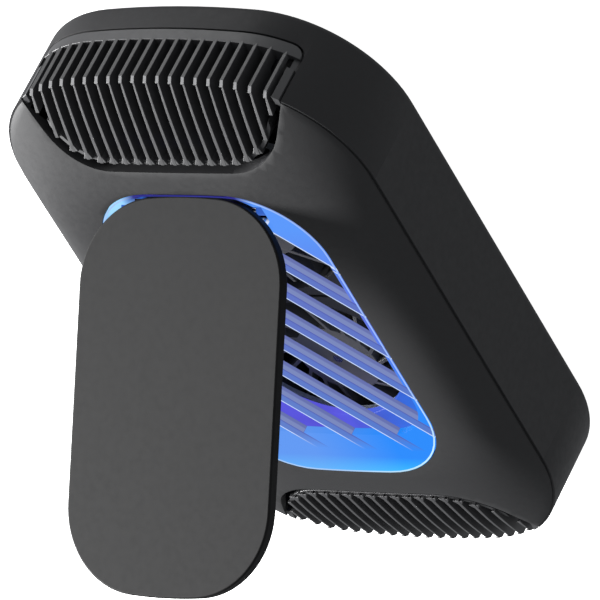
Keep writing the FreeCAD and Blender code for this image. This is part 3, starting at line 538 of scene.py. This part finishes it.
materials = {
    "housing_plastic": moulded("housing_plastic", (0.02, 0.02, 0.021), 0.52, specular=0.28),
    # The grille's lighter colour on the rib facets is a painted highlight.
    "grille_plastic": moulded("grille_plastic", (0.03, 0.03, 0.032), 0.46, grain=0.12, depth=0.002,
                              specular=0.85, facet_highlight=(0.1, 0.1, 0.105)),
    "flap_plastic": moulded("flap_plastic", (0.006, 0.006, 0.0063), 0.6, grain=0.1, depth=0.002,
                            specular=0.16),
    # The bracket's blue emission at its ends is a painted glow.
    "bracket_plastic": moulded("bracket_plastic", (0.02, 0.02, 0.022), 0.5, painted_glow=(0.03, 0.12, 0.55)),
    "fan_frame_plastic": moulded("fan_frame_plastic", (0.02, 0.02, 0.022), 0.45),
    "fan_rotor_plastic": moulded("fan_rotor_plastic", (0.12, 0.115, 0.11), 0.32, grain=0.4, depth=0.001,
                                 specular=0.7),
    "tongue_plastic": moulded("tongue_plastic", (0.03, 0.03, 0.03), 0.4),
    "chip_black": moulded("chip_black", (0.02, 0.02, 0.02), 0.5, grain=0.08),
    "lead_film": moulded("lead_film", (0.5, 0.22, 0.04), 0.3, depth=0.001),
    "board_green": printed_board("board_green", (0.01, 0.07, 0.035), (0.03, 0.14, 0.06)),
    "board_white": printed_board("board_white", (0.25, 0.27, 0.3), (0.2, 0.22, 0.25)),
    "socket_steel": metal("socket_steel", (0.62, 0.62, 0.64), 0.3, stretch=(1, 8, 8)),
    "screw_steel": metal("screw_steel", (0.05, 0.05, 0.055), 0.4),
    "pin_steel": metal("pin_steel", (0.6, 0.6, 0.62), 0.25, stretch=(8, 1, 1)),
    "stator_steel": metal("stator_steel", (0.3, 0.3, 0.32), 0.45, stretch=(1, 1, 8)),
    "magnet_black": metal("magnet_black", (0.06, 0.06, 0.065), 0.5),
    "bearing_bronze": metal("bearing_bronze", (0.5, 0.33, 0.14), 0.35),
    "copper_wire": metal("copper_wire", (0.7, 0.3, 0.1), 0.3, stretch=(1, 1, 10)),
    "window_tint": window_plastic(),
    "light_guide": lit_plastic("light_guide", (0.012, 0.22, 0.9), (0.02, 0.05, 0.35), (0.11, 0.10, 0.76),
                               0.95),
    "led_lens": lit_plastic("led_lens", (0.2, 0.5, 1.0), (0.2, 0.5, 1.0), (0.2, 0.5, 1.0), 1.5),
}
rim_glow = lit_plastic("window_rim", (0.6, 0.92, 1.0), (0.33, 0.5, 0.97), (0.4, 0.6, 0.9), 1.0, mottle=0.05,
                       shaded=True)
for node_name, node in nodes.items():
    node.data.materials.clear()
    node.data.materials.append(materials[slot_of[node_name]])


# Shape helpers

def corner_centre(half_width, half_length, arch, corner):
    """Where along Y an outline's corner has its centre."""
    return half_length - arch + math.sqrt((arch - corner) ** 2 - (half_width - corner) ** 2)


def outline(half_width, half_length, arch, corner, shift=0, corner_steps=12, end_steps=10, side_steps=12):
    """A closed run of points: two straight sides, two arched ends and four round corners."""
    corner_y = corner_centre(half_width, half_length, arch, corner)
    lean = math.atan2(corner_y - (half_length - arch), half_width - corner)
    quarter = []
    for n in range(corner_steps):
        turn = lean * n / corner_steps
        quarter.append((half_width - corner + corner * math.cos(turn), corner_y + corner * math.sin(turn)))
    for n in range(end_steps):
        turn = lean + (math.pi / 2 - lean) * n / end_steps
        quarter.append((arch * math.cos(turn), half_length - arch + arch * math.sin(turn)))
    top = quarter + [(0, half_length)] + [(-x, y) for x, y in reversed(quarter)]
    side = [-corner_y + 2 * corner_y * n / side_steps for n in range(1, side_steps)]
    left = [(-half_width, -y) for y in side]
    bottom = [(-x, -y) for x, y in top]
    right = [(half_width, y) for y in side]
    return [(x, y + shift) for x, y in top + left + bottom + right]


def mesh_object(name, points, faces, material, sharp=35):
    """A new object from points in millimetres, smooth but for edges sharper than an angle."""
    mesh = bpy.data.meshes.new(name)
    mesh.from_pydata([Vector(p) * MM for p in points], [], faces)
    made = bmesh.new()
    made.from_mesh(mesh)
    bmesh.ops.remove_doubles(made, verts=made.verts, dist=MESH_WELD * MM)
    bmesh.ops.recalc_face_normals(made, faces=made.faces)
    made.to_mesh(mesh)
    made.free()
    mesh.shade_smooth()
    mesh.set_sharp_from_angle(angle=math.radians(sharp))
    mesh.materials.append(material)
    made_object = bpy.data.objects.new(name, mesh)
    bpy.context.scene.collection.objects.link(made_object)
    return made_object


def rings_object(name, rings, material, closed=True, **settings):
    """Join rings of equally many points by quads.

    Closed joins the last ring to the first, and otherwise the first and the last are capped.
    """
    count = len(rings[0])
    points = [point for ring in rings for point in ring]
    faces = []
    for r in range(len(rings) if closed else len(rings) - 1):
        here, there = r * count, (r + 1) % len(rings) * count
        for n in range(count):
            after = (n + 1) % count
            faces.append((here + n, here + after, there + after, there + n))
    if not closed:
        faces.append(tuple(range(count)))
        faces.append(tuple((len(rings) - 1) * count + n for n in range(count)))
    return mesh_object(name, points, faces, material, **settings)


def freeze(thing):
    """Make an object's modifiers part of its mesh."""
    shapes = bpy.context.evaluated_depsgraph_get()
    mesh = bpy.data.meshes.new_from_object(thing.evaluated_get(shapes))
    thing.modifiers.clear()
    thing.data = mesh


def round_off(thing, width, angle, segments, harden=True):
    """Round an object's sharp edges by a width in millimetres."""
    bevel = thing.modifiers.new("round", "BEVEL")
    bevel.width = width * MM
    bevel.segments = segments
    bevel.limit_method = "ANGLE"
    bevel.angle_limit = math.radians(angle)
    bevel.harden_normals = harden
    return thing


def joined(name, things):
    """One object from several, with their materials kept."""
    mesh = bpy.data.meshes.new(name)
    whole = bmesh.new()
    slots = []
    for thing in things:
        freeze(thing)
        part = bmesh.new()
        part.from_mesh(thing.data)
        part.transform(thing.matrix_world)
        for face in part.faces:
            material = thing.data.materials[face.material_index]
            if material not in slots:
                slots.append(material)
            face.material_index = slots.index(material)
        spare = bpy.data.meshes.new("spare")
        part.to_mesh(spare)
        part.free()
        whole.from_mesh(spare)
        bpy.data.meshes.remove(spare)
        bpy.data.objects.remove(thing)
    whole.to_mesh(mesh)
    whole.free()
    for material in slots:
        mesh.materials.append(material)
    made = bpy.data.objects.new(name, mesh)
    bpy.context.scene.collection.objects.link(made)
    return made


def settle(piece, body, slot, *replaced):
    """Hand a finished piece to its body in the frame."""
    if replaced:
        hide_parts(*replaced)
    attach(piece, body)


# Grilles

def section(rise):
    """Half width, half length, arch and corner of the housing's outline at a share of the cap's height."""
    side_slope = (2 * HALF_WIDTH - WINDOW_WIDTH - 2 * LAND) / 2
    end_slope = (2 * HALF_LENGTH - WINDOW_LENGTH - 2 * LAND) / 2
    return (HALF_WIDTH - (1 - (1 - rise) ** CAP_SIDE_POWER) * side_slope,
            HALF_LENGTH - (1 - (1 - rise) ** CAP_END_POWER) * end_slope,
            BODY_ARCH + rise * (WINDOW_ARCH - BODY_ARCH),
            BODY_CORNER - rise * (BODY_CORNER - WINDOW_CORNER - LAND))


def section_end(x, rise):
    """Where the outline's arched end lies at x."""
    half_width, half_length, arch, corner = section(rise)
    x = abs(x)
    if x <= (half_width - corner) * arch / (arch - corner):
        return half_length - arch + math.sqrt(arch ** 2 - x ** 2)
    corner_y = corner_centre(half_width, half_length, arch, corner)
    return corner_y + math.sqrt(max(0, corner ** 2 - (x - half_width + corner) ** 2))


def cap_height(x, y, halvings=24):
    """Height of the housing's sloping end over x and y."""
    low, high = 0, 1
    for _ in range(halvings):
        middle = (low + high) / 2
        if abs(x) < section(middle)[0] and section_end(x, middle) > y:
            low = middle
        else:
            high = middle
    return SEAM + low * (FACE - SEAM)


def notch_edge(x, inset):
    """Where the grille's footprint, made smaller by an inset, begins at x."""
    x = abs(x)
    near, far, inner = NOTCH_INNER_HALF - inset, NOTCH_HALF - inset, NOTCH_INNER + inset
    radius = NOTCH_ROUND - inset
    lean = math.atan2(NOTCH_OUTER - inner, far - near)
    tangent = radius * math.tan(lean / 2)
    if x <= near - tangent:
        return inner
    if x <= near + tangent * math.cos(lean):
        return inner + radius - math.sqrt(radius ** 2 - (x - near + tangent) ** 2)
    return inner + (x - near) * math.tan(lean)


def rib_profile(x, foot, slope_steps=10):
    """A rib's outline at x: wall, facet at the fold, sloping back, foot and inner side, as (y, z, width)."""
    end = section_end(x, 0)
    high = SEAM + RIB_RISE
    fold = end - FACET_RUN
    root = RIB_LOW - RIB_ROOT
    run = [(end, root, RIB_WIDTH), (end, high - FACET_RISE, RIB_WIDTH), (fold, high, RIB_WIDTH),
           (fold - FACET_BACK, high, RIB_WIDTH)]
    start = fold - SLOPE_BACK
    for n in range(slope_steps + 1):
        share = n / slope_steps
        y = start + (foot - start) * share
        dip = max(0, 1 - (end - y) / RIB_DIP_LENGTH) ** 2 * RIB_DIP
        run.append((y, cap_height(x, y) - dip, RIB_THIN + (RIB_WIDTH - RIB_THIN) * share))
    shelf_start = NOTCH_INNER - SHELF_START
    shelf = SEAM - (foot - shelf_start) * (SEAM - RIB_TURN) / (RIB_BACK - shelf_start)
    back = min(RIB_BACK, end - RIB_LEAST)
    run += [(foot, shelf, RIB_WIDTH), (back - RIB_DEEP, RIB_TURN, RIB_WIDTH),
            (back, RIB_TURN - RIB_DEEP, RIB_WIDTH), (back, root, RIB_WIDTH)]
    return run


def swept(half_width, ring_at):
    """Rings at steps across the grille, closer together towards its two ends."""
    turns = [math.pi * (n / GRILLE_STEPS - 0.5) for n in range(GRILLE_STEPS + 1)]
    return [ring_at(half_width * math.sin(turn)) for turn in turns]


def bar_ring(x):
    """The section at x of the bar that joins the ribs' feet."""
    outer = notch_edge(x, FOOT_GAP)
    inner = max(notch_edge(x, FOOT_GAP + FOOT_BAR), outer + FOOT_BAR)
    tops = [(x, y, cap_height(x, y) - FOOT_SINK) for y in (outer, inner)]
    return tops + [(x, y, z - FOOT_DEPTH) for x, y, z in reversed(tops)]


def band_ring(x):
    """The section at x of the band under the ribs; its lower corners are round."""
    beyond = max(0, abs(x) - GRILLE_HALF + GRILLE_CORNER)
    low = GRILLE_LOW + GRILLE_CORNER - math.sqrt(GRILLE_CORNER ** 2 - beyond ** 2)
    end = section_end(x, 0)
    back = min(GRILLE_BACK, end - BAND_LEAST)
    return [(x, end, low), (x, end, RIB_LOW), (x, back, RIB_LOW), (x, back, low)]


def grille_parts(side, material):
    """The pieces of one grille; side is 1 at the hinge end and -1 at the far end."""
    parts = []

    def add(rings):
        parts.append(rings_object("grille_part", [[(x, y * side, z) for x, y, z in ring] for ring in rings],
                                  material, closed=False, sharp=30))

    for n in range(RIB_COUNT):
        middle = (n - (RIB_COUNT - 1) / 2) * RIB_PITCH
        foot = notch_edge(middle, FOOT_GAP + FOOT_LAP)
        profile = rib_profile(middle, foot)
        add([[(middle + hand * width / 2, y, z) for y, z, width in profile] for hand in (-1, 1)])
        if abs(middle) < NOTCH_INNER_HALF:
            near, far = foot + FLARE_START, foot + FOOT_BAR + FLARE_END
            narrow = RIB_WIDTH / 2
            wide = narrow + FLARE_SIDE
            flare = [(middle - wide, near), (middle + wide, near),
                     (middle + narrow, far), (middle - narrow, far)]
            top = [(x, y, cap_height(x, y) - FLARE_SINK) for x, y in flare]
            add([top, [(x, y, z - FOOT_DEPTH) for x, y, z in top]])
    add(swept(FOOT_END, bar_ring))
    add(swept(GRILLE_HALF - GRILLE_SLACK, band_ring))
    for hand in (1, -1):
        for low, high, sink in ((STRIP_LOW, SEAM - STRIP_GAP, 0),
                                (RIB_LOW - RIB_ROOT, STRIP_LOW + STRIP_LAP, STRIP_STEP)):
            rings = []
            for x in (GRILLE_HALF - STRIP_WIDTH, GRILLE_HALF - STRIP_WIDTH / 2, GRILLE_HALF):
                end = section_end(x, 0) - sink
                back = end - STRIP_DEPTH
                corners = ((end, low), (end, high), (back, high), (back, low))
                rings.append([(hand * x, y, z) for y, z in corners])
            add(rings)
    return parts


def add_grille(end, side):
    parts = grille_parts(side, materials["grille_plastic"])
    rounded = [round_off(part, RIB_ROUND, RIB_ROUND_ANGLE, RIB_ROUND_STEPS) for part in parts]
    settle(joined("grille_" + end + "_ribs", rounded), "housing", "grille_plastic", "grille_" + end)


def add_rim():
    """A fine bright line along the window's edge, which the hinge shades."""
    half_width, half_length = WINDOW_WIDTH / 2 - WINDOW_FIT, WINDOW_LENGTH / 2 - WINDOW_FIT
    high = FACE + RIM_RISE
    rings = []
    for inset, z in ((0, FACE), (0, high), (RIM_LINE, high), (RIM_LINE, FACE)):
        line = outline(half_width - inset, half_length - inset, WINDOW_ARCH - inset, WINDOW_CORNER - inset,
                       WINDOW_SHIFT)
        rings.append([(x, y, z) for x, y in line])
    settle(rings_object("window_rim", rings, rim_glow), "housing", "window_tint")


def ease_edges(name, width, angle=32, segments=2, harden=True):
    """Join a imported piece's faces and round its sharp edges by a width in millimetres."""
    thing = nodes[name]
    weld = thing.modifiers.new("weld", "WELD")
    weld.merge_threshold = PACKED_WELD * MM
    round_off(thing, width, angle, segments, harden)


for shell in ("front_shell", "rear_shell"):
    ease_edges(shell, SHELL_ROUND, harden=False)
for end, side in (("hinge_end", 1), ("far_end", -1)):
    add_grille(end, side)
    ease_edges("fan_rotor_" + end, ROTOR_ROUND)
    ease_edges("fan_frame_" + end, FRAME_ROUND)
add_rim()
ease_edges("light_plate", PLATE_ROUND)

add_camera()
add_studio()
add_floor()
